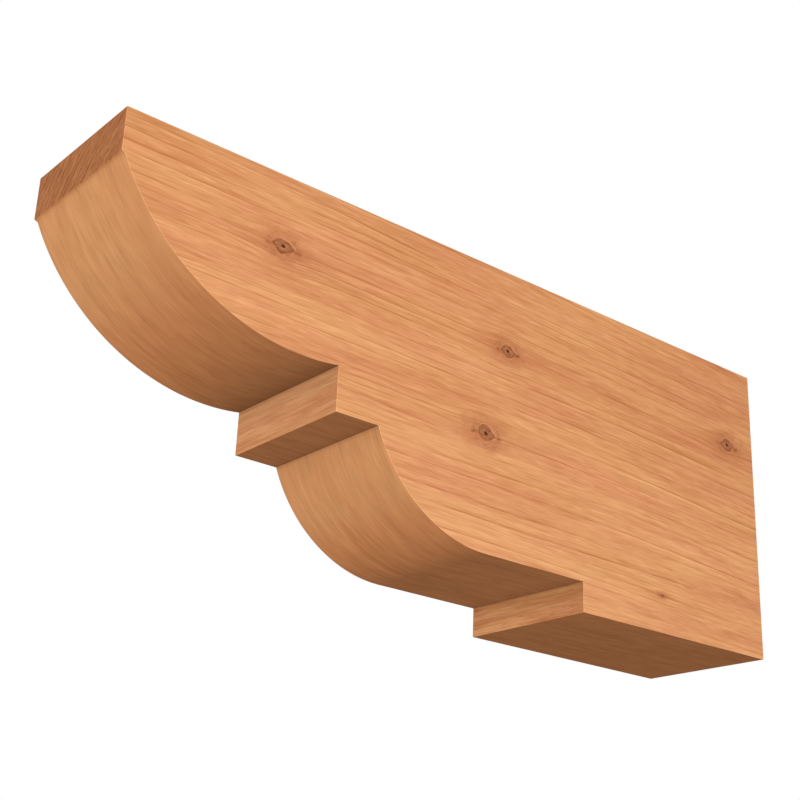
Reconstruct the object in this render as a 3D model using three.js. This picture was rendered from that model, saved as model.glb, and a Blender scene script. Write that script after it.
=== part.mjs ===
// A rafter tail: the carved end of an eaves timber, sawn from one dressed
// four-by-eight and finished smooth on every face.
//
// Millimetres, +Z up. The origin is the centre of the square-cut wall end, so the
// block reaches out along -X to its nose, and +Y runs across its width.

import * as THREE from 'three';

// The dressed block
const LENGTH = 457;
const WIDTH = 89;
const HEIGHT = 184;

// The nose: a short plumb face under the top edge, with a narrow lip below it
const NOSE_HEIGHT = 24;
const LIP_DEPTH = 2;
const LIP_DROP = 1;

// Front sweep: one round arc from the lip down to the first shoulder. Its centre is
// this far back from the nose, so the arc passes its lowest point before it ends.
const FRONT_SWEEP_RADIUS = 121;
const FRONT_SWEEP_CENTRE = 111;

// First shoulder: a plumb step and a short level ledge, measured from the nose
const SHOULDER_SETBACK = 130;
const SHOULDER_HEIGHT = 67.5;
const LEDGE_LENGTH = 26.5;

// Back sweep: an arc that starts at the ledge and runs out level above the heel
const BACK_SWEEP_RADIUS = 80;

// Heel: the full-depth block at the wall, below its own plumb step
const HEEL_SETBACK = 302;
const HEEL_STEP = 17;

// Points that each sweep gets for every quarter circle's worth of curve
const SWEEP_SEGMENTS = 24;

const CEDAR_COLOUR = 0xd89a66;
const CEDAR_ROUGHNESS = 0.62;

// Half of a circle's chord at a distance from its centre.
function halfChord(radius, distance) {
  return Math.sqrt(radius * radius - distance * distance);
}

// The side outline, walked from the top of the nose down along the underside to the
// wall end and back along the top. The sketch's x is the distance from the nose and
// its y the height above the heel's underside.
function sideOutline() {
  const outline = new THREE.Shape();
  outline.moveTo(0, HEIGHT);
  outline.lineTo(0, HEIGHT - NOSE_HEIGHT);

  const sweepTop = HEIGHT - NOSE_HEIGHT - LIP_DROP;
  outline.lineTo(LIP_DEPTH, sweepTop);

  const frontReach = FRONT_SWEEP_CENTRE - LIP_DEPTH;
  const frontRise = halfChord(FRONT_SWEEP_RADIUS, frontReach);
  const frontPast = SHOULDER_SETBACK - FRONT_SWEEP_CENTRE;
  outline.absarc(
    FRONT_SWEEP_CENTRE,
    sweepTop + frontRise,
    FRONT_SWEEP_RADIUS,
    Math.atan2(-frontRise, -frontReach),
    Math.atan2(-halfChord(FRONT_SWEEP_RADIUS, frontPast), frontPast),
    false,
  );

  const ledgeEnd = SHOULDER_SETBACK + LEDGE_LENGTH;
  outline.lineTo(SHOULDER_SETBACK, SHOULDER_HEIGHT);
  outline.lineTo(ledgeEnd, SHOULDER_HEIGHT);

  const backCentreHeight = HEEL_STEP + BACK_SWEEP_RADIUS;
  const backRise = backCentreHeight - SHOULDER_HEIGHT;
  const backReach = halfChord(BACK_SWEEP_RADIUS, backRise);
  outline.absarc(
    ledgeEnd + backReach,
    backCentreHeight,
    BACK_SWEEP_RADIUS,
    Math.atan2(-backRise, -backReach),
    -Math.PI / 2,
    false,
  );

  outline.lineTo(HEEL_SETBACK, HEEL_STEP);
  outline.lineTo(HEEL_SETBACK, 0);
  outline.lineTo(LENGTH, 0);
  outline.lineTo(LENGTH, HEIGHT);
  outline.closePath();
  return outline;
}

// The outline is sawn straight through the block's width. The sketch stands up on
// its edge, and its centre moves to the wall end.
function sawnBlock() {
  const block = new THREE.ExtrudeGeometry(sideOutline(), {
    depth: WIDTH,
    curveSegments: SWEEP_SEGMENTS,
    bevelEnabled: false,
  });
  block.rotateX(Math.PI / 2);
  block.translate(-LENGTH, WIDTH / 2, -HEIGHT / 2);
  return block;
}

const cedar = new THREE.MeshStandardMaterial({
  color: CEDAR_COLOUR,
  roughness: CEDAR_ROUGHNESS,
  metalness: 0,
});

const rafterTail = new THREE.Mesh(sawnBlock(), cedar);
rafterTail.name = 'rafter_tail';

const part = new THREE.Group();
part.add(rafterTail);

export default part;
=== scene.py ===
# %% [markdown]
# # A cedar rafter tail
#
# A rafter tail is the end of a roof timber that shows under the eaves. This one is a single dressed block of
# cedar. Its underside is sawn to two round sweeps, two plumb steps and a flat heel, and its wall end is cut
# square. The CAD model already has the form to size, so this lesson is about what makes it look like wood:
# eased arrises, knots that are really sunk into the surface, and grain that runs the right way on every face.

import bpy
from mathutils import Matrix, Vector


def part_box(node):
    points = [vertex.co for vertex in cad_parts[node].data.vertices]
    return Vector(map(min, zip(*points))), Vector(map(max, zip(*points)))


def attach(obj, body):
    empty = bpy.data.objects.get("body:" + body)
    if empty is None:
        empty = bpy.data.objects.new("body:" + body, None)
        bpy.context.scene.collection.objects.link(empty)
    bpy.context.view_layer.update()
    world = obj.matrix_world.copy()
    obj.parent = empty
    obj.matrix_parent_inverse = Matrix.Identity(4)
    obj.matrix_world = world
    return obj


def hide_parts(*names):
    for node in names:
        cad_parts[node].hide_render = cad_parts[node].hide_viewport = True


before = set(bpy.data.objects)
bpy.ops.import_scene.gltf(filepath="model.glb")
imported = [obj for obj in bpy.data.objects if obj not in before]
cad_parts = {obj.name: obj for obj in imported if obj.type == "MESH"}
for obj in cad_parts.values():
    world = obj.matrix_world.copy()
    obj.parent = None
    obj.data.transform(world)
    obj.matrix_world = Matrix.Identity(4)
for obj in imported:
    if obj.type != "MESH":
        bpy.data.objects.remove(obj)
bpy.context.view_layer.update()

# %% Other modules
from math import cos, radians, sin

import bmesh
import bpy
import numpy as np
from mathutils import Quaternion, Vector

print("bpy", bpy.app.version_string)

# %% [markdown]
# ## The sawn block
#
# The real block is one timber, so it stays one piece here. We could model the outline again, but the CAD
# solid is the agreed shape, so we copy its mesh. The copy arrives as thin triangles. Welding the points and
# dissolving the flat edges turns it back into the faces a joiner would name: two cheeks, a top, a nose, two
# sweeps, two steps, a ledge, a heel and the wall end.

# %% Copy the solid and clear its flat edges
WELD = 1e-6
FLAT = radians(0.3)

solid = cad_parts["rafter_tail"]
block = bmesh.new()
block.from_mesh(solid.data)
bmesh.ops.remove_doubles(block, verts=block.verts, dist=WELD)
bmesh.ops.dissolve_limit(block, angle_limit=FLAT, verts=block.verts, edges=block.edges)
print("faces of the sawn block:", len(block.faces))

# %% Measure the block
low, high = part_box("rafter_tail")
NOSE, WALL = low.x, high.x
HEEL, TOP = low.z, high.z
HALF_WIDTH = high.y
MM = 0.001

print(f"block {(WALL - NOSE) / MM:.0f} x {2 * HALF_WIDTH / MM:.0f} x {(TOP - HEEL) / MM:.0f} mm")

# %% [markdown]
# ## The sawn edge, as a walk
#
# Grain on the underside follows the saw cut round each sweep. To draw it there we need one number that grows
# evenly along the cut, however it bends. An unwrapped picture could give it, but a number kept on the mesh
# needs no picture and never stretches. We walk the outline of the underside from the nose to the wall and
# keep the distance walked at each corner. Later every point gets the distance of the nearest place on that
# walk.

# %% Walk the underside from nose to wall
corners = {(round(v.co.x, 6), round(v.co.z, 6)) for v in solid.data.vertices}
underside = sorted((c for c in corners if c[1] < TOP - MM), key=lambda c: (c[0], -c[1]))
walk = np.array(underside)
stride = np.linalg.norm(np.diff(walk, axis=0), axis=1)
walked = np.concatenate([[0.0], np.cumsum(stride)])
print(f"the cut is {walked[-1] / MM:.0f} mm long, with {len(walk)} points")


def distance_walked(x, z):
    """How far along the saw cut the nearest place to (x, z) is."""
    place = np.array([x, z])
    legs = np.diff(walk, axis=0)
    share = np.clip(((place - walk[:-1]) * legs).sum(1) / (stride**2), 0, 1)
    gap = np.linalg.norm(walk[:-1] + legs * share[:, None] - place, axis=1)
    nearest = int(np.argmin(gap))
    return walked[nearest] + share[nearest] * stride[nearest]


# %% [markdown]
# ## Eased arrises
#
# No planed timber has knife edges: a pass of the sanding block takes off less than a millimetre. That tiny
# round is what catches the light as a fine pale line along the cheek. A bevel modifier would do it, but the
# same bevel on the mesh itself lets us cut the knots in afterwards. Only outward edges are eased. Inward
# corners stay crisp, because the saw leaves them so and no block reaches them.

# %% Round the outward edges
EASE = 0.32 * MM
EASE_STEPS = 3
SHARP = radians(30)

arrises = [edge for edge in block.edges if edge.calc_face_angle_signed(0) > SHARP]
eased = bmesh.ops.bevel(
    block,
    geom=arrises,
    offset=EASE,
    offset_type="OFFSET",
    segments=EASE_STEPS,
    profile=0.5,
    affect="EDGES",
    clamp_overlap=True,
)
print("eased", len(arrises), "edges, which made", len(eased["faces"]), "small faces")

# %% [markdown]
# ## Knots
#
# A knot is a branch that the tree grew round. On a cheek it shows as a small eye, longer along the grain,
# with a dark pith in the middle. The eye has shrunk a little below the planed face. A bump in the material
# could suggest that, but it would not be in the mesh, so each knot is real relief: we cut a fine grid into
# the cheek just there and sink its points. The same list of knots later guides the colour and bends the
# grain, so shape and finish always agree. Places are in millimetres from the nose and from the underside of
# the heel.

# %% The knots on the two cheeks


class Knot:
    """An eye on a cheek: its place, its half length along the grain, its half height and its depth."""

    def __init__(self, from_nose, above_heel, half_length, half_height, depth):
        self.x = NOSE / MM + from_nose
        self.z = HEEL / MM + above_heel
        self.half_length = half_length
        self.half_height = half_height
        self.depth = depth


NEAR_KNOTS = [
    Knot(92.3, 144.3, 6.4, 3.8, 0.45),
    Knot(244.3, 135.7, 5.4, 3.4, 0.35),
    Knot(229.0, 83.2, 6.7, 3.8, 0.50),
    Knot(432.3, 131.0, 6.1, 3.7, 0.45),
    Knot(366.7, 21.7, 2.4, 0.8, 0.20),
]
FAR_KNOTS = [
    Knot(168.0, 121.0, 6.2, 4.0, 0.45),
    Knot(331.0, 64.0, 6.6, 4.0, 0.45),
    Knot(286.0, 150.0, 3.2, 1.5, 0.30),
]
print(len(NEAR_KNOTS), "knots on the near cheek,", len(FAR_KNOTS), "on the far one")

# %% Slice faces by planes
ALONG, UP = (1, 0, 0), (0, 0, 1)


def cut_faces(faces, normal, places):
    """Slices faces by planes square to a direction, at each place along it, and returns all the pieces."""
    for place in places:
        sides = {edge for face in faces for edge in face.edges}
        points = {vert for face in faces for vert in face.verts}
        cut = bmesh.ops.bisect_plane(
            block,
            geom=[*faces, *sides, *points],
            dist=WELD,
            plane_co=Vector(normal) * place,
            plane_no=normal,
        )
        faces = [part for part in cut["geom"] if isinstance(part, bmesh.types.BMFace)]
    return faces


print("cuts go square to", ALONG, "and", UP)

# %% Cut a fine grid round a knot
KNOT_CELL = 0.6
KNOT_REACH = 1.8
SQUARE_ON = 0.999


def cut_eye(knot, side):
    """Cuts a grid into one cheek, -1 for the near one and 1 for the far one, and returns the grid's faces."""
    reach_x, reach_z = knot.half_length * KNOT_REACH, knot.half_height * KNOT_REACH
    left, right = (knot.x - reach_x) * MM, (knot.x + reach_x) * MM
    bottom, top = (knot.z - reach_z) * MM, (knot.z + reach_z) * MM
    cheek = [face for face in block.faces if face.normal.y * side > SQUARE_ON]
    cheek = cut_faces(cut_faces(cheek, ALONG, (left, right)), UP, (bottom, top))
    eye = []
    for face in cheek:
        centre = face.calc_center_median()
        if left < centre.x < right and bottom < centre.z < top:
            eye.append(face)
    columns = np.arange(left, right, KNOT_CELL * MM)[1:]
    rows = np.arange(bottom, top, KNOT_CELL * MM)[1:]
    return cut_faces(cut_faces(eye, ALONG, columns), UP, rows)


print("knots are cut in cells of", KNOT_CELL, "mm")

# %% Sink the knots
DISH_SHARE, DISH_EDGE = 0.35, 0.9
GROOVE_SHARE, GROOVE_PLACE, GROOVE_WIDTH = 0.40, 0.97, 0.16
PITH_SPREAD = 0.05


def sink_eye(eye, knot, side):
    """Sinks a shallow dish, the groove of its rim and the pit of its pith."""
    for vert in {vert for face in eye for vert in face.verts}:
        p = (vert.co.x / MM - knot.x) / knot.half_length
        q = (vert.co.z / MM - knot.z) / knot.half_height
        lens = p * p + abs(q)
        dish = DISH_SHARE * np.exp(-((lens / DISH_EDGE) ** 4))
        groove = GROOVE_SHARE * np.exp(-(((lens - GROOVE_PLACE) / GROOVE_WIDTH) ** 2))
        pith = np.exp(-(p * p * 2.5 + q * q) / PITH_SPREAD)
        vert.co.y -= side * max(dish + groove, pith) * knot.depth * MM


knot_faces = []
for side, knots in ((-1, NEAR_KNOTS), (1, FAR_KNOTS)):
    for knot in knots:
        eye = cut_eye(knot, side)
        sink_eye(eye, knot, side)
        knot_faces.extend(eye)
print("faces round the knots:", len(knot_faces))

# %% [markdown]
# ## Naming the faces
#
# Wood looks different on each kind of face. The cheeks and the top show long grain, the steps show it running
# across the block, the sweeps and flats show it following the cut, and the nose and the wall end show end
# grain. One large material could choose among them, but small ones are easier to read. So each face joins one
# group by the way it faces and where it is, and each group gets its own material slot.

# %% Sort the faces into groups
GROUPS = ["near_cheek", "far_cheek", "top", "wall_end", "nose_end", "step", "underside"]
PLUMB = 1e-5
AT_NOSE = 0.5 * MM
MOSTLY, NEARLY_ALL = 0.6, 0.9
step_starts = [i for i in range(1, len(walk) - 1) if walk[i + 1][0] - walk[i][0] < PLUMB]
STEPS_X = [walk[i][0] for i in step_starts]


def group_of(face):
    """The name of the kind of face that this one belongs to."""
    facing, middle = face.normal, face.calc_center_median()
    if abs(facing.y) > MOSTLY:
        return "near_cheek" if facing.y < 0 else "far_cheek"
    if facing.z > MOSTLY:
        return "top"
    if facing.x > MOSTLY:
        return "wall_end"
    if middle.x < NOSE + AT_NOSE:
        return "nose_end"
    if facing.x < -NEARLY_ALL and min(abs(middle.x - x) for x in STEPS_X) < MM:
        return "step"
    return "underside"


block.normal_update()
counts = dict.fromkeys(GROUPS, 0)
for face in block.faces:
    group = group_of(face)
    counts[group] += 1
    face.material_index = GROUPS.index(group)
print(counts)

# %% [markdown]
# ## Shading, distances and the flat pattern
#
# The sweeps are many narrow flats, so they are shaded smooth, and so are the sunk knots. Everything else is
# truly flat. Each point is given its distance along the saw cut. Last comes a flat pattern. An automatic
# unwrap would do, but we lay the block out by hand like a cardboard net drawn at one scale, so that a texture
# baked from these materials has even detail everywhere.

# %% Smooth the round faces
FLATS_DOWN = -0.9995
ACROSS = 0.01
for face in block.faces:
    rounded = GROUPS[face.material_index] == "underside" and face.normal.z > FLATS_DOWN
    face.smooth = rounded and abs(face.normal.y) < ACROSS
for face in knot_faces:
    face.smooth = True
print("smooth faces:", sum(face.smooth for face in block.faces))

# %% Store the distance along the cut
run_layer = block.verts.layers.float.new("run")
for vert in block.verts:
    vert[run_layer] = distance_walked(vert.co.x, vert.co.z)
print("longest run:", round(max(vert[run_layer] for vert in block.verts), 4))

# %% Lay the faces out flat
SHEET = 0.580
MARGIN = 0.006
cheek_row = TOP - HEEL + MARGIN
strip_row = 2 * HALF_WIDTH + MARGIN
ends_column = WALL - NOSE + 2 * MARGIN

net = block.loops.layers.uv.new("OFBake")


def flat_place(group, vert):
    """Where a point of a group lands on the flat sheet, in metres."""
    along, across, height = vert.co.x - NOSE, vert.co.y + HALF_WIDTH, vert.co.z - HEEL
    places = {
        "near_cheek": (MARGIN + along, MARGIN + height),
        "far_cheek": (MARGIN + along, MARGIN + cheek_row + height),
        "top": (MARGIN + along, MARGIN + 2 * cheek_row + across),
        "wall_end": (ends_column + across, MARGIN + height),
        "nose_end": (ends_column + across, MARGIN + cheek_row + height),
    }
    on_cut = (MARGIN + vert[run_layer], MARGIN + 2 * cheek_row + strip_row + across)
    return places.get(group, on_cut)


for face in block.faces:
    group = GROUPS[face.material_index]
    for loop in face.loops:
        u, v = flat_place(group, loop.vert)
        loop[net].uv = (u / SHEET, v / SHEET)
corner_uvs = np.array([loop[net].uv for face in block.faces for loop in face.loops])
print("the net fills", corner_uvs.min(0).round(3), "to", corner_uvs.max(0).round(3))

# %% [markdown]
# ## The piece
#
# The finished mesh becomes one object. It rides on the body that the solid belongs to and stands in for the
# solid, which is then hidden but never changed. Editing the solid itself would be shorter, but it has to stay
# as it was measured.

# %% Make the piece
timber_mesh = bpy.data.meshes.new("rafter_tail_timber")
block.to_mesh(timber_mesh)
block.free()
timber = bpy.data.objects.new("rafter_tail_timber", timber_mesh)
bpy.context.scene.collection.objects.link(timber)
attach(timber, "root")
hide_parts("rafter_tail")
print("timber has", len(timber_mesh.polygons), "faces")

# %% [markdown]
# ## Writing shaders as sums
#
# A wood material is mostly arithmetic: where on the face are we, how far from a growth line, how close to a
# knot. Wiring that by hand takes dozens of Math nodes. A small class that wraps one socket lets us write the
# sums as Python instead, and each operator adds the Math node it stands for. A second class owns the tree of
# nodes and has the one method that adds to it, and a third adds what a wood finish needs.

# %% A socket that does sums


class Wire:
    """One value in a material. Sums and products of wires add Math nodes to the same material."""

    def __init__(self, finish, socket):
        self.finish = finish
        self.socket = socket

    def math(self, operation, *values):
        sockets = dict(enumerate(values))
        return self.finish.node("ShaderNodeMath", {"operation": operation}, sockets)

    def __add__(self, other):
        return self.math("ADD", self, other)

    def __radd__(self, other):
        return self.math("ADD", other, self)

    def __sub__(self, other):
        return self.math("SUBTRACT", self, other)

    def __rsub__(self, other):
        return self.math("SUBTRACT", other, self)

    def __mul__(self, other):
        return self.math("MULTIPLY", self, other)

    def __rmul__(self, other):
        return self.math("MULTIPLY", other, self)

    def __truediv__(self, other):
        return self.math("DIVIDE", self, other)

    def __rtruediv__(self, other):
        return self.math("DIVIDE", other, self)

    def __pow__(self, other):
        return self.math("POWER", self, other)

    def __rpow__(self, other):
        return self.math("POWER", other, self)

    def __abs__(self):
        return self.math("ABSOLUTE", self)

    def wrapped(self):
        """The part after the point, which climbs from 0 to 1 over and over."""
        return self.math("FRACT", self)

    def at_least(self, other):
        return self.math("MAXIMUM", self, other)

    def root(self):
        return self.math("SQRT", self)

    def bell(self):
        """1 where the value is 0, falling away smoothly on both sides."""
        return self.math("EXPONENT", self * self * -1.0)

    def near(self, middle, width):
        """1 where the value is at the middle, falling away over the width on both sides."""
        return ((self - middle) / width).bell()

    def rise(self, start, end):
        """0 at start, 1 at end, with a soft slope between."""
        settings = {"interpolation_type": "SMOOTHSTEP"}
        sockets = {"Value": self, "From Min": start, "From Max": end}
        return self.finish.node("ShaderNodeMapRange", settings, sockets)


print("a wire has", sum(callable(value) for value in vars(Wire).values()), "methods")

# %% One method that adds nodes


class Nodes:
    """A tree of nodes, and the one method that adds to it."""

    def __init__(self, tree):
        self.tree = tree
        self.tree.nodes.clear()

    def node(self, kind, settings=None, sockets=None, output=0):
        made = self.tree.nodes.new(kind)
        for name, value in (settings or {}).items():
            setattr(made, name, value)
        for name, value in (sockets or {}).items():
            if isinstance(value, Wire):
                self.tree.links.new(value.socket, made.inputs[name])
            else:
                made.inputs[name].default_value = value
        return None if output is None else Wire(self, made.outputs[output])


print("nodes are added by", Nodes.node.__qualname__)

# %% What a wood finish needs
FAINT_GLOSS = 0.015


class Finish(Nodes):
    """A material, with the readings and shaders that wood needs."""

    def __init__(self, name):
        self.material = bpy.data.materials.new(name)
        self.material.use_nodes = True
        super().__init__(self.material.node_tree)

    def place(self, axes):
        """The point being shaded, in millimetres: one wire for each axis of the block that is asked for."""
        here = self.node("ShaderNodeTexCoord", output="Object")
        return [self.node("ShaderNodeSeparateXYZ", {}, {"Vector": here}, axis) * (1 / MM) for axis in axes]

    def run(self):
        """The distance along the saw cut, in millimetres."""
        return self.node("ShaderNodeAttribute", {"attribute_name": "run"}, {}, "Fac") * (1 / MM)

    def streaks(self, along, across, length, width, seed, detail=1.0, roughness=0.5):
        """Cloudy noise drawn out along the grain: about so long and so wide, between 0 and 1."""
        spot = {"X": along / length, "Y": across / width, "Z": seed}
        vector = self.node("ShaderNodeCombineXYZ", {}, spot)
        sockets = {"Vector": vector, "Scale": 1.0, "Detail": detail, "Roughness": roughness}
        return self.node("ShaderNodeTexNoise", {"noise_dimensions": "3D"}, sockets, "Fac")

    def sway(self, *values):
        """The noise that streaks makes of the same values, but swinging to both sides of 0."""
        return self.streaks(*values) - 0.5

    def blend(self, share, first, second):
        """A colour that goes from the first to the second as the share goes from 0 to 1."""
        settings = {"data_type": "RGBA", "clamp_factor": True}
        return self.node("ShaderNodeMix", settings, {0: share, 6: first, 7: second}, 2)

    def shade(self, colour, roughness, height, depth_mm):
        """The wood shader: colour, roughness and a fine relief of the given depth, with hardly any gloss."""
        sockets = {"Strength": 1.0, "Distance": depth_mm * MM, "Height": height}
        relief = self.node("ShaderNodeBump", {}, sockets, "Normal")
        wood = {"Base Color": colour, "Roughness": roughness, "Normal": relief}
        wood["Specular IOR Level"] = FAINT_GLOSS
        shader = self.node("ShaderNodeBsdfPrincipled", {}, wood, "BSDF")
        self.node("ShaderNodeOutputMaterial", {}, {"Surface": shader}, None)
        return self.material


print("bare wood has a specular level of only", FAINT_GLOSS)

# %% [markdown]
# ## Long grain
#
# Planed cedar is a warm tan with soft darker bands, thin brown growth lines that run for a hand's length
# before they fade, and short fine fibres. A picture of wood would be the quick way, but it would have seams
# at every edge. Layers of noise have none, and each layer has its own length and width in millimetres along
# the grain. A growth ring darkens slowly and then stops at once, so a saw-tooth wave across the grain gives
# its line one soft side and one crisp one. The lines fall a little towards the wall, more and more steeply,
# because the tree tapered. The wood deepens slightly towards the wall and the top edge, and a last slow layer
# leans the tan towards gold or towards rose.

# %% The colours of the wood
PALE_TAN = (0.836, 0.420, 0.190, 1)
DEEP_TAN = (0.520, 0.201, 0.067, 1)
PALE_ROSE = (0.806, 0.370, 0.176, 1)
DEEP_ROSE = (0.482, 0.167, 0.059, 1)


def wood_colour(finish, dark, rose):
    """Cedar of a given darkness, from golden tan to rosy tan as the rose share goes from 0 to 1."""
    golden = finish.blend(dark, PALE_TAN, DEEP_TAN)
    rosy = finish.blend(dark, PALE_ROSE, DEEP_ROSE)
    return finish.blend(rose, golden, rosy)


print("cedar runs from", PALE_TAN[:3], "to", DEEP_ROSE[:3])

# %% Growth lines and fibres
GRAIN_FALL = 0.007
GRAIN_BEND = 0.00006
RING_WIDTH = 5.4
WALL_DEEPENS = 0.00025
TOP_DEEPENS = 0.0014
MIDDLING = 0.375


def long_grain(finish, along, across, seed):
    """The colour of planed wood, with a painted highlight by each growth line, and its raised grain."""
    back = along - NOSE / MM
    wander = finish.sway(along, across, 300, 90, seed)
    ripple = finish.sway(along, across, 20, 10, seed + 2.6)
    drift = across + back * (back * GRAIN_BEND + GRAIN_FALL) + wander * 6 + ripple * 0.6
    bands = finish.sway(along, drift, 110, 13, seed + 5.3)
    veins = finish.sway(along, drift, 46, 2.2, seed + 11.7, 2.0, 0.6)
    fibres = finish.sway(along, drift, 13, 1.0, seed + 17.1)
    flecks = finish.streaks(along, drift, 12, 0.9, seed + 19.4).rise(0.58, 0.76)
    uneven = finish.sway(along, drift, 500, 16, seed + 23.9)
    ring = (drift / -RING_WIDTH + uneven * 2.4).wrapped()
    shown = finish.streaks(along, drift, 85, 4, seed + 31.3).rise(0.38, 0.66)
    line = ring ** (shown * 6 + 5) * (shown * 0.9 + 0.1)
    # Painted highlight: a pale edge on the crisp side of each growth line, as if the raised grain caught the
    # light.
    line_highlight = (1 - ring) ** 8 * shown
    dark = back * WALL_DEEPENS + across * TOP_DEEPENS + MIDDLING
    dark = dark + bands * 0.45 + veins * 0.85 + fibres * 0.7
    dark = dark + line * 0.85 - line_highlight * 0.3 - flecks * 0.25
    rose = finish.streaks(along, drift, 100, 13, seed + 41.0).rise(0.36, 0.70)
    return wood_colour(finish, dark, rose), fibres * 0.5 - line * 0.6


print("growth lines are about", RING_WIDTH, "mm apart")

# %% [markdown]
# ## Painting the knots
#
# Round a knot the tree's lines swing aside, so before the grain is drawn its height is shrunk towards the
# middle of the eye. The eye itself is the curve p squared plus the height q: an almond with a point at each
# end. Bands of that one number give the brown heart, its dark rim, the pale ring outside that and the broken
# arcs that gather at the two points. Marks with clean edges would be simpler, but they look drawn, so noise
# tears and breaks all of them. Wide soft bells make the cloudy darker wood round the eye and its rosy tail
# along the grain.

# %% Push the grain aside
SWING = 0.45
SWING_LENGTH, SWING_HEIGHT = 2.5, 2.4


def push_grain(x, z, knots):
    """The height across the grain, with room made for each knot."""
    pushed = z
    for knot in knots:
        p = (x - knot.x) / (knot.half_length * SWING_LENGTH)
        q = (z - knot.z) / (knot.half_height * SWING_HEIGHT)
        pushed = pushed - (z - knot.z) * ((p * p + q * q).root().bell() * SWING)
    return pushed


print("grain swings by", SWING, "of its height at a knot")

# %% Noise that tears a knot's outline


class Tear:
    """The noise that keeps knots from looking drawn, the same for all the knots of a cheek."""

    def __init__(self, finish, x, z, seed):
        self.pull_x = finish.sway(x, z, 9, 7, seed + 12.0) * 4
        self.pull_z = finish.sway(x, z, 9, 7, seed + 15.0) * 3
        self.ragged = finish.sway(x, z, 2.8, 1.9, seed, 2.0)
        self.cloudy = finish.sway(x, z, 13.0, 6.0, seed + 6.0, 3.0)
        self.patchy = finish.sway(x, z, 2.4, 1.8, seed + 18.0, 2.0)
        self.broken = finish.streaks(x, z, 5.0, 3.0, seed + 3.0).rise(0.40, 0.60)
        self.specks = finish.streaks(x, z, 4.0, 1.9, seed + 9.0).rise(0.54, 0.70)


class Eye:
    """A place as a knot sees it: p along it, q up it, and lens, which is 1 on the torn outline."""

    def __init__(self, knot, x, z, tear):
        self.p = (x - knot.x) / knot.half_length
        self.q = (z - knot.z) / knot.half_height
        bent_p = self.p + tear.pull_x / knot.half_length
        self.bent_q = self.q + tear.pull_z / knot.half_height
        self.lens = bent_p * bent_p + abs(self.bent_q) + tear.ragged * 0.55


print("the outline of an eye is where its lens is 1")

# %% The marks of a knot


def stain(eye, tear):
    """The cloudy darker wood round an eye, and its rosy tail along the grain."""
    halo = (eye.p * eye.p * 0.12 + eye.q * eye.q * 0.13 + tear.cloudy * 2.4).bell() * 0.75
    tail = (eye.p / 5.6).bell() * (eye.q / 1.4 + tear.cloudy * 2.6).bell() * 0.5
    return halo.at_least(tail)


def dark_marks(eye, tear):
    """The broken rim, the arcs outside it, a tick at each point and the specks round about."""
    rim = eye.lens.near(1.0, 0.15) * (tear.broken * 0.45 + 0.2 - eye.q * 0.1)
    outside = eye.lens.rise(1.2, 1.4) * eye.lens.rise(3.6, 2.0)
    ends = abs(eye.p).rise(0.7, 1.3) * 1.1 + 0.5
    arcs = (eye.lens * 1.7 + 0.2).wrapped() ** 4 * outside * ends * (tear.broken * 0.6 + 0.1)
    ticks = abs(eye.p).near(1.28, 0.34) * eye.bent_q.near(-0.25, 0.24) * (tear.broken * 0.5 + 0.4)
    scatter = tear.specks * (eye.p * 0.47).bell() * (eye.q * 0.47).bell() * 0.42
    return rim.at_least(arcs).at_least(ticks).at_least(scatter)


print("marks:", stain.__name__, "and", dark_marks.__name__)

# %% Lay the knots over the grain
KNOT_HALO = (0.52, 0.188, 0.080, 1)
KNOT_HEART = (0.36, 0.140, 0.068, 1)
KNOT_BURNT = (0.29, 0.090, 0.028, 1)
KNOT_RIM = (0.19, 0.046, 0.009, 1)
PITH = (0.095, 0.020, 0.003, 1)


def paint_knots(finish, colour, x, z, knots, seed):
    """The colour with each knot laid over it, from the stain round it to the pith in its middle."""
    tear = Tear(finish, x, z, seed)
    for knot in knots:
        eye = Eye(knot, x, z, tear)
        pressed = eye.lens.near(1.30, 0.13) * tear.broken * 0.26
        inside = eye.lens.rise(1.10, 0.90)
        glow = eye.lens.near(0.36, 0.14) * tear.broken * 0.35
        pith = (abs(eye.p) * 1.5 + abs(eye.q) + tear.ragged * 0.4).rise(0.44, 0.18)
        colour = finish.blend(stain(eye, tear), colour, KNOT_HALO)
        colour = finish.blend(pressed, colour, PALE_ROSE)
        colour = finish.blend(inside * 0.78, colour, KNOT_HEART)
        colour = finish.blend(inside * (tear.patchy * 2.2 + 0.30), colour, KNOT_BURNT)
        colour = finish.blend(glow, colour, PALE_ROSE)
        colour = finish.blend(dark_marks(eye, tear), colour, KNOT_RIM)
        colour = finish.blend(pith, colour, PITH)
    return colour


print("knots go from", KNOT_HALO[:3], "to", PITH[:3])

# %% [markdown]
# ## Cheeks and top
#
# The planer leaves these faces smooth and dull, with the fibres standing up by a few hundredths of a
# millimetre. That is far too fine to model, so the fibres and growth lines are also the height of a bump. The
# two cheeks use the same finish with their own knots and their own seed, so that they match without being
# copies, and the top is the same wood without knots.

# %% The cheeks and the top
PLANED_ROUGHNESS = 0.58
GRAIN_RELIEF = 0.05


def cheek_face(name, knots, seed):
    """A planed side of the block, with its knots."""
    finish = Finish(name)
    x, z = finish.place("XZ")
    colour, raised = long_grain(finish, x, push_grain(x, z, knots), seed)
    colour = paint_knots(finish, colour, x, z, knots, seed + 47.0)
    return finish.shade(colour, raised * 0.15 + PLANED_ROUGHNESS, raised, GRAIN_RELIEF)


def top_face(seed):
    """The planed top, which has no knots."""
    finish = Finish("top")
    x, y = finish.place("XY")
    colour, raised = long_grain(finish, x, y, seed)
    return finish.shade(colour, raised * 0.15 + PLANED_ROUGHNESS, raised, GRAIN_RELIEF)


near_cheek = cheek_face("near cheek", NEAR_KNOTS, 3.1)
far_cheek = cheek_face("far cheek", FAR_KNOTS, 71.6)
print("near cheek uses", len(near_cheek.node_tree.nodes), "nodes")
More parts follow.
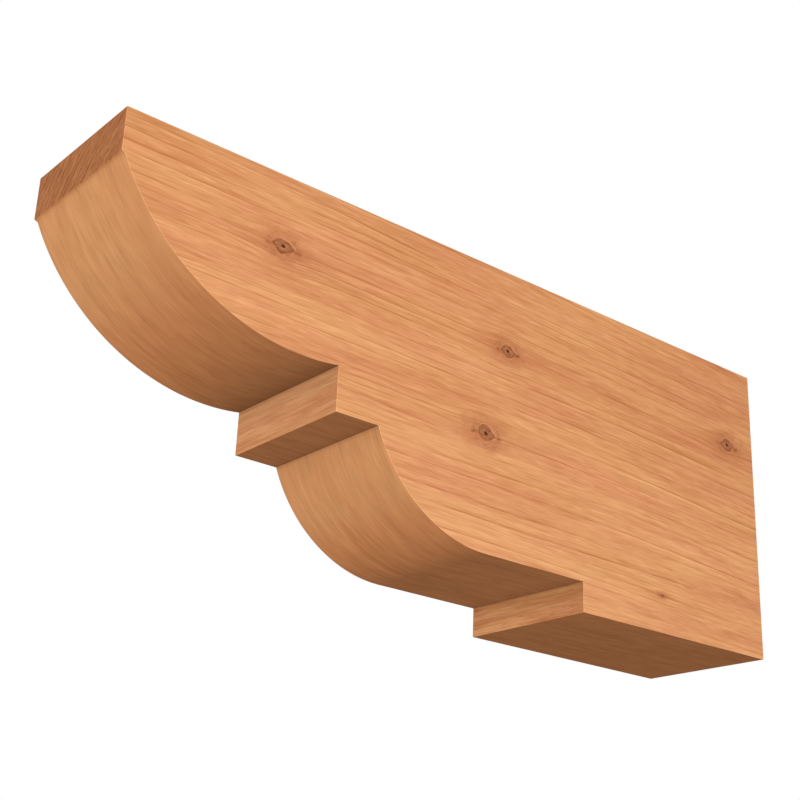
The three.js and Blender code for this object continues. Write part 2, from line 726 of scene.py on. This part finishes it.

# %% [markdown]
# ## Steps and underside
#
# The saw crossed the fibres at the two steps, so their streaks run level across the block. On the sweeps and
# flats the streaks follow the cut, so they are drawn from the distance we stored on the mesh. They are softer
# there, because a sweep is sanded. Painted shade deepens them slowly towards the wall and makes the step
# nearer the wall darker. Faces that turn to look down are painted a deeper tan, as shade. Every inward corner
# gets painted shade too, a soft band with a thin dark line in it. Bounced light could darken the corners, but
# painting the shade by distance keeps it in the finish from every side.

# %% Painted shade in the inward corners
# Painted shade for the inward corners: its colour, and the width and depth of a thin dark line in each.
CORNER_SHADE = (0.26, 0.100, 0.040, 1)
CREASE_SHADE_WIDTH, CREASE_SHADE_DEPTH = 1.4, 0.3
INNER_CORNERS = [walked[i] / MM for i in step_starts] + [walked[step_starts[0] + 2] / MM]


def shade_corners(finish, colour, run, reach, depth):
    """The colour, darkened by painted shade along each inward corner of the saw cut: so far out, and so deep.
    """
    for corner in INNER_CORNERS:
        away = run - corner
        shade = (away / reach).bell() * depth + (away / CREASE_SHADE_WIDTH).bell() * CREASE_SHADE_DEPTH
        colour = finish.blend(shade, colour, CORNER_SHADE)
    return colour


print("inward corners at", [round(corner) for corner in INNER_CORNERS], "mm along the cut")

# %% The steps
STEP_SHIFT = 0.37
STEP_SHADE_TOWARDS_WALL = 0.0012
STEP_DARKNESS = 0.78


def step_face():
    """A plumb step, sawn across the fibres, darkened by painted shade."""
    finish = Finish("step")
    x, y, z = finish.place("XYZ")
    seed = x * STEP_SHIFT
    broad = finish.sway(y, z, 80, 5, seed, 2.0)
    fine = finish.sway(y, z, 24, 1.1, seed + 9.0, 2.0, 0.6)
    dashes = finish.streaks(y, z, 7, 0.8, seed + 15.0).rise(0.60, 0.75)
    rose = finish.streaks(y, z, 60, 9, seed + 21.0).rise(0.36, 0.64)
    # Painted shade: the step nearer the wall comes out darker.
    dark = x * STEP_SHADE_TOWARDS_WALL + STEP_DARKNESS + broad * 1.4 + fine * 1.5 + dashes * 0.35
    # Painted shade along the inward corner at the top of the step.
    colour = shade_corners(finish, wood_colour(finish, dark, rose), finish.run(), 10, 0.35)
    return finish.shade(colour, fine * 0.2 + PLANED_ROUGHNESS, fine, GRAIN_RELIEF)


print("streaks on the two steps differ by", round((STEPS_X[1] - STEPS_X[0]) / MM * STEP_SHIFT), "in seed")

# %% The underside
SANDED_PALE = (0.77, 0.364, 0.153, 1)
SANDED_DEEP = (0.540, 0.237, 0.093, 1)
SANDED_ROSE = (0.66, 0.262, 0.105, 1)
# The shaded colours are painted shade, for faces that look down.
SHADED_PALE = (0.71, 0.286, 0.110, 1)
SHADED_DEEP = (0.490, 0.181, 0.066, 1)
SWEEP_DARKNESS = 0.42
SWEEP_SHADE_ALONG_CUT = 0.0007


def underside_face():
    """The sweeps, ledge, flats and heel: sanded along the cut, with painted shade where they face down."""
    finish = Finish("underside")
    run = finish.run()
    (y,) = finish.place("Y")
    broad = finish.sway(run, y, 70, 9, 201.3)
    narrow = finish.sway(run, y, 30, 2.6, 207.9, 2.0)
    fine = finish.sway(run, y, 16, 0.9, 211.6)
    mottle = finish.sway(run, y, 14, 5, 219.2, 2.0)
    dashes = finish.streaks(run, y, 8, 0.8, 213.4).rise(0.60, 0.75)
    dark = SWEEP_DARKNESS + broad * 0.6 + narrow * 0.8 + mottle * 0.7 + fine * 0.6 + dashes * 0.2
    facing = finish.node("ShaderNodeNewGeometry", {}, {}, "Normal")
    down = finish.node("ShaderNodeSeparateXYZ", {}, {"Vector": facing}, "Z") * -1.0
    rose = finish.streaks(run, y, 120, 11, 227.5).rise(0.45, 0.65) * 0.3
    # Painted shade: the sanded colour darkens along the cut towards the wall.
    deepened_by_shade = dark + run * SWEEP_SHADE_ALONG_CUT
    sanded = finish.blend(rose, finish.blend(deepened_by_shade, SANDED_PALE, SANDED_DEEP), SANDED_ROSE)
    shaded = finish.blend(dark, SHADED_PALE, SHADED_DEEP)
    # Painted shade: faces that turn to look down blend into the shaded colours.
    colour = finish.blend(down.rise(0.69, 0.95), sanded, shaded)
    # Painted shade along the inward corners of the cut.
    colour = shade_corners(finish, colour, run, 8, 0.2)
    return finish.shade(colour, narrow * 0.2 + PLANED_ROUGHNESS, narrow + mottle, GRAIN_RELIEF)


print("underside goes from", SANDED_PALE[:3], "to", SHADED_DEEP[:3])

# %% [markdown]
# ## End grain
#
# At the nose and the wall end the saw cut straight across the tree. End grain drinks in light, so it is
# darker and redder, and the growth rings show as rows of strokes. A ready-made texture of rings would do, but
# its lines are too even for a sawn end, so we measure the distance to the heart of the tree and draw noise
# round it. The heart was outside this block, low on the near side, so the rings are wide arcs round a point
# out there. The strokes are long on the wall end and short on the nose, where they look like slanting
# hatching.

# %% The ends
END_PALE = (0.64, 0.258, 0.106, 1)
END_DEEP = (0.38, 0.131, 0.050, 1)
END_LINE = (0.13, 0.040, 0.015, 1)
END_DARKNESS = 0.42
END_ROUGHNESS, END_RELIEF = 0.72, 0.1
RING_SLANT = radians(46)
SLANT_LEVEL = 80
RING_PITCH = 3.4
HEART_DISTANCE = 300
HEART_Y = -HEART_DISTANCE * sin(RING_SLANT)
HEART_Z = SLANT_LEVEL - HEART_DISTANCE * cos(RING_SLANT)


def end_face(name, seed, stroke, force):
    """Sawn end grain, with rings of strokes, so long and so strong, round a heart outside the block."""
    finish = Finish(name)
    y, z = finish.place("YZ")
    out_y, out_z = y - HEART_Y, z - HEART_Z
    radius = (out_y * out_y + out_z * out_z).root()
    round_ring = out_y.math("ARCTAN2", out_y, out_z) * HEART_DISTANCE
    uneven = finish.sway(round_ring, radius, 90, 10, seed)
    ring = (radius / RING_PITCH + uneven * 2.2).wrapped()
    strokes = finish.streaks(round_ring, radius, stroke, 0.8, seed + 4.0).rise(0.50, 0.66)
    cloud = finish.sway(round_ring, radius, stroke * 1.8, 5, seed + 8.0, 2.0)
    speckle = finish.sway(round_ring, radius, 3.0, 0.7, seed + 12.0)
    dark = END_DARKNESS + cloud * 1.3 + speckle * 1.1
    colour = finish.blend(dark, END_PALE, END_DEEP)
    line = ((ring**3 * 0.65 + 0.35) * strokes * 0.9).at_least(ring**6 * (cloud + 0.5)) * force
    colour = finish.blend(line, colour, END_LINE)
    return finish.shade(colour, speckle * 0.15 + END_ROUGHNESS, speckle - line, END_RELIEF)


print(f"the heart of the tree is at {HEART_Y:.0f}, {HEART_Z:.0f} mm, outside the block")

# %% Give each group its finish
finishes = {
    "near_cheek": near_cheek,
    "far_cheek": far_cheek,
    "top": top_face(131.2),
    "wall_end": end_face("wall end", 301.0, 48, 1.0),
    "nose_end": end_face("nose end", 351.0, 8, 0.9),
    "step": step_face(),
    "underside": underside_face(),
}
for group in GROUPS:
    timber_mesh.materials.append(finishes[group])
print("materials on the timber:", [material.name for material in timber_mesh.materials])

# %% [markdown]
# ## Studio
#
# The block is seen from below against white, lit by one large soft lamp that stands beside the camera. Faces
# that look at the lamp are bright, and those that look down are dark. Even light from all round would be
# simpler, but it would flatten the form. A second light from above and behind reaches only the sides that the
# photograph does not show. The pale floor is well below, so that the camera can go under the block, and it is
# kept out of the bounced light, which would wash out the dark undersides.

# %% World and floor
PAPER_WHITE = 1.0
DIM = 0.05
FLOOR_DROP = 3.4
FLOOR_SIZE = 60.0
FLOOR_PALE = (0.92, 0.92, 0.92, 1)
FLOOR_ROUGHNESS = 0.9

scene = bpy.context.scene
scene.view_settings.view_transform = "Standard"
world = bpy.data.worlds.new("studio")
world.use_nodes = True
scene.world = world
backdrop = Nodes(world.node_tree)
seen = backdrop.node("ShaderNodeLightPath", output="Is Camera Ray")
paper = {"Color": (1, 1, 1, 1), "Strength": seen * (PAPER_WHITE - DIM) + DIM}
glow = backdrop.node("ShaderNodeBackground", {}, paper)
backdrop.node("ShaderNodeOutputWorld", {}, {"Surface": glow}, None)

slab = bmesh.new()
bmesh.ops.create_grid(slab, x_segments=1, y_segments=1, size=FLOOR_SIZE / 2)
floor_mesh = bpy.data.meshes.new("floor")
slab.to_mesh(floor_mesh)
slab.free()
floor_mesh.materials.append(Finish("pale floor").shade(FLOOR_PALE, FLOOR_ROUGHNESS, 0.0, 0.0))
floor = bpy.data.objects.new("floor", floor_mesh)
floor.location.z = -FLOOR_DROP
floor.visible_diffuse = False
floor.visible_glossy = False
timber.visible_diffuse = False
scene.collection.objects.link(floor)
print("floor", FLOOR_DROP, "m below the block")

# %% Lamps
KEY_FROM = Vector((-0.60, -0.75, -0.27)).normalized()
KEY_DISTANCE = 6.0
KEY_SIZE = 3.0
KEY_WATTS = 90
KEY_SPREAD = radians(70)
SKY_FROM = Vector((0.50, 0.60, 0.62)).normalized()
SKY_STRENGTH = 4.3
SKY_ANGLE = radians(40)


def lamp(name, kind, towards, place, settings):
    """A lamp at a place, shining back along the direction that it is seen in from the block."""
    data = bpy.data.lights.new(name, kind)
    for setting, value in settings.items():
        setattr(data, setting, value)
    made = bpy.data.objects.new(name, data)
    made.location = place
    made.rotation_mode = "QUATERNION"
    made.rotation_quaternion = (-towards).to_track_quat("-Z", "Y")
    scene.collection.objects.link(made)
    return made


block_middle = (low + high) / 2
softbox = {"shape": "SQUARE", "size": KEY_SIZE, "energy": KEY_WATTS, "spread": KEY_SPREAD}
key = lamp("key", "AREA", KEY_FROM, block_middle + KEY_FROM * KEY_DISTANCE, softbox)
key.visible_camera = False
lamp("sky", "SUN", SKY_FROM, block_middle + SKY_FROM, {"energy": SKY_STRENGTH, "angle": SKY_ANGLE})
print("key lamp", KEY_DISTANCE, "m away, at", [round(v, 2) for v in key.location])

# %% [markdown]
# ## Camera
#
# The photograph looks up at the block from below its nose, with a slight roll. The place, the point it looks
# at and the lens come from matching the block's corners to the photograph. Turning the camera by hand until
# it looks right would also do, but small errors of place and lens hide each other that way.

# %% Camera
CAMERA_PLACE = Vector((-0.71001, -0.57311, -0.28456))
CAMERA_TARGET = Vector((-0.25194, 0.0, 0.01632))
CAMERA_ROLL = radians(2.364)
CAMERA_LENS = 64.87
SENSOR = 36.0
FARTHEST = 100

camera_data = bpy.data.cameras.new("camera")
camera_data.lens = CAMERA_LENS
camera_data.sensor_width = SENSOR
camera_data.clip_end = FARTHEST
camera = bpy.data.objects.new("camera", camera_data)
camera.location = CAMERA_PLACE
camera.rotation_mode = "QUATERNION"
level_view = (CAMERA_TARGET - CAMERA_PLACE).to_track_quat("-Z", "Y")
camera.rotation_quaternion = level_view @ Quaternion((0, 0, 1), CAMERA_ROLL)
scene.collection.objects.link(camera)
scene.camera = camera
print("camera is", round((CAMERA_PLACE - block_middle).length, 3), "m from the middle of the block")

# %% [markdown]
# ## The two boxes
#
# The dressed block fills the same box as the solid it stands for: easing and sinking only ever take
# wood away.

# %% Update the scene
bpy.context.view_layer.update()
